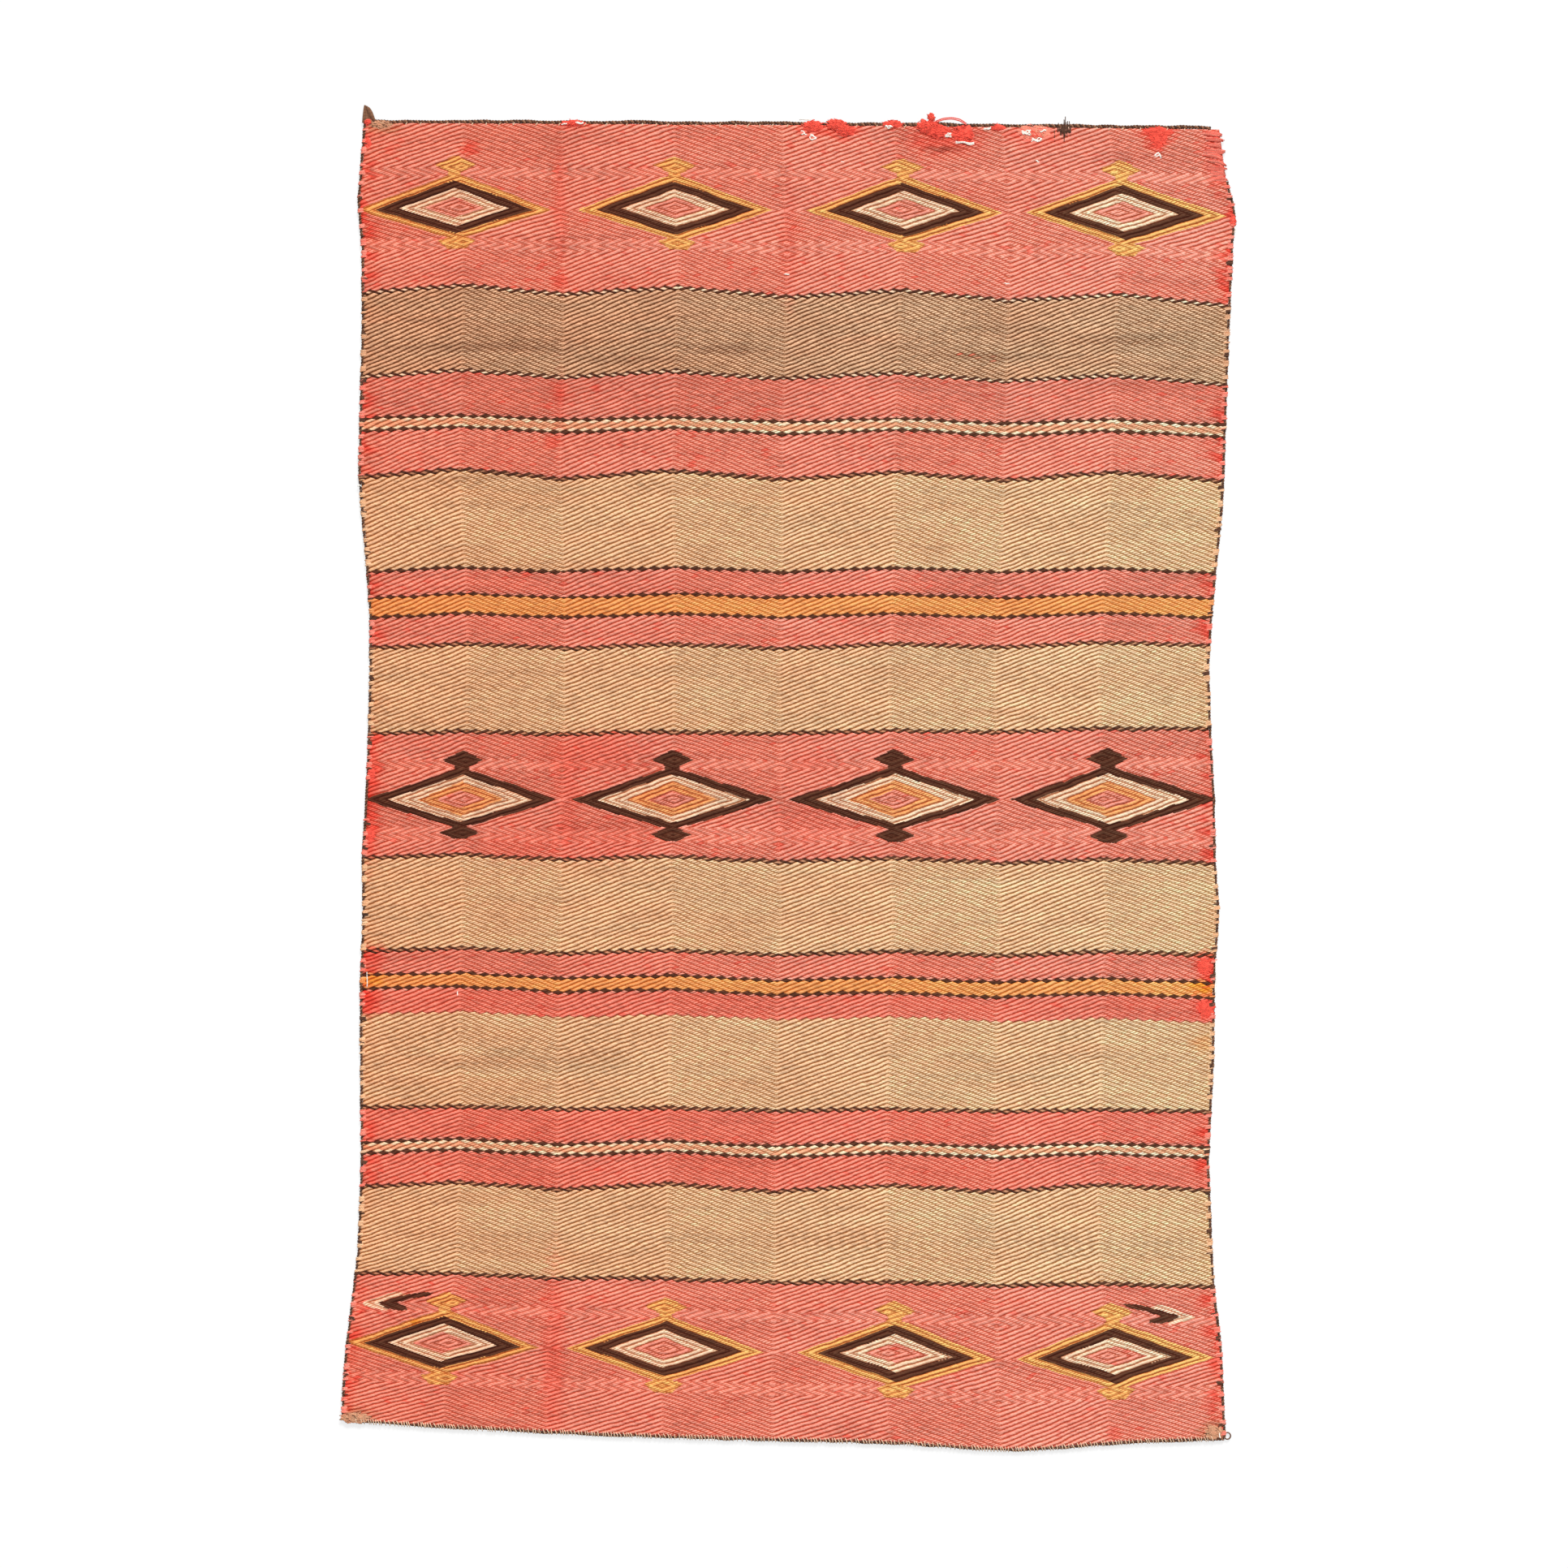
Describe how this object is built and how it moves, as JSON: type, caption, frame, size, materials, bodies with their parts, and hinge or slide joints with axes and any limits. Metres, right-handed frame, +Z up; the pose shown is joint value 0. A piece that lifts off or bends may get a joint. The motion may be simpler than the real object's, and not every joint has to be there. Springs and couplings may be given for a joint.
{
  "type": "saddle blanket",
  "caption": "Flat hand-woven wool saddle blanket with stripes and rows of diamonds, corded along its edges, that folds double across its middle.",
  "frame": {"origin": "centre of the blanket's box, on its underside, where it rests on the ground", "axes": "+Z up out of the face that shows, +Y along the length towards the end with the corner tail, +X across to the right of that face"},
  "size_m": [0.9374, 1.4084, 0.0052],
  "materials": {
    "red_wool": "matte wool weft, salmon red, twill woven",
    "tan_wool": "matte wool weft, tan, twill woven",
    "grey_wool": "matte wool weft, grey-brown, twill woven",
    "brown_wool": "matte wool weft, dark brown",
    "cream_wool": "matte wool weft, cream",
    "orange_wool": "matte wool weft, orange",
    "diamond_wool": "matte wool inlay in orange, dark brown, cream and red rings",
    "warp_wool": "hard-spun pale wool warp",
    "cord_wool": "two-ply dark brown wool cord"
  },
  "bodies": {
    "lower_half": {"middle_band_lower": "red_wool", "line_06": "brown_wool", "tan_band_03": "tan_wool", "line_07": "brown_wool", "red_band_05": "red_wool", "bead_line_06": "brown_wool", "orange_stripe_lower": "orange_wool", "bead_line_07": "brown_wool", "red_band_06": "red_wool", "tan_band_04": "tan_wool", "line_08": "brown_wool", "red_band_07": "red_wool", "bead_line_08": "brown_wool", "cream_stripe_lower": "cream_wool", "bead_line_09": "brown_wool", "red_band_08": "red_wool", "line_09": "brown_wool", "tan_band_05": "tan_wool", "line_10": "brown_wool", "end_band_lower": "red_wool", "diamond_lower_1": "diamond_wool", "diamond_lower_2": "diamond_wool", "diamond_lower_3": "diamond_wool", "diamond_lower_4": "diamond_wool", "middle_diamonds_lower": "diamond_wool", "warp_lower": "warp_wool", "side_cord_left_lower": "cord_wool", "side_cord_right_lower": "cord_wool", "end_cord_lower": "cord_wool"},
    "upper_half": {"end_band_upper": "red_wool", "line_01": "brown_wool", "grey_band": "grey_wool", "line_02": "brown_wool", "red_band_01": "red_wool", "bead_line_01": "brown_wool", "cream_stripe_upper": "cream_wool", "bead_line_02": "brown_wool", "red_band_02": "red_wool", "line_03": "brown_wool", "tan_band_01": "tan_wool", "bead_line_03": "brown_wool", "red_band_03": "red_wool", "bead_line_04": "brown_wool", "orange_stripe_upper": "orange_wool", "bead_line_05": "brown_wool", "red_band_04": "red_wool", "line_04": "brown_wool", "tan_band_02": "tan_wool", "line_05": "brown_wool", "middle_band_upper": "red_wool", "diamond_upper_1": "diamond_wool", "diamond_upper_2": "diamond_wool", "diamond_upper_3": "diamond_wool", "diamond_upper_4": "diamond_wool", "middle_diamonds_upper": "diamond_wool", "warp_upper": "warp_wool", "side_cord_left_upper": "cord_wool", "side_cord_right_upper": "cord_wool", "end_cord_upper": "cord_wool", "corner_tail": "cord_wool"}
  },
  "joints": [
    {"name": "fold_across_middle", "type": "hinge", "parent": "lower_half", "child": "upper_half", "pos_m": [0, -0.02265, 0.0055], "axis": [1, 0, 0], "range_deg": [0, 180]}
  ]
}
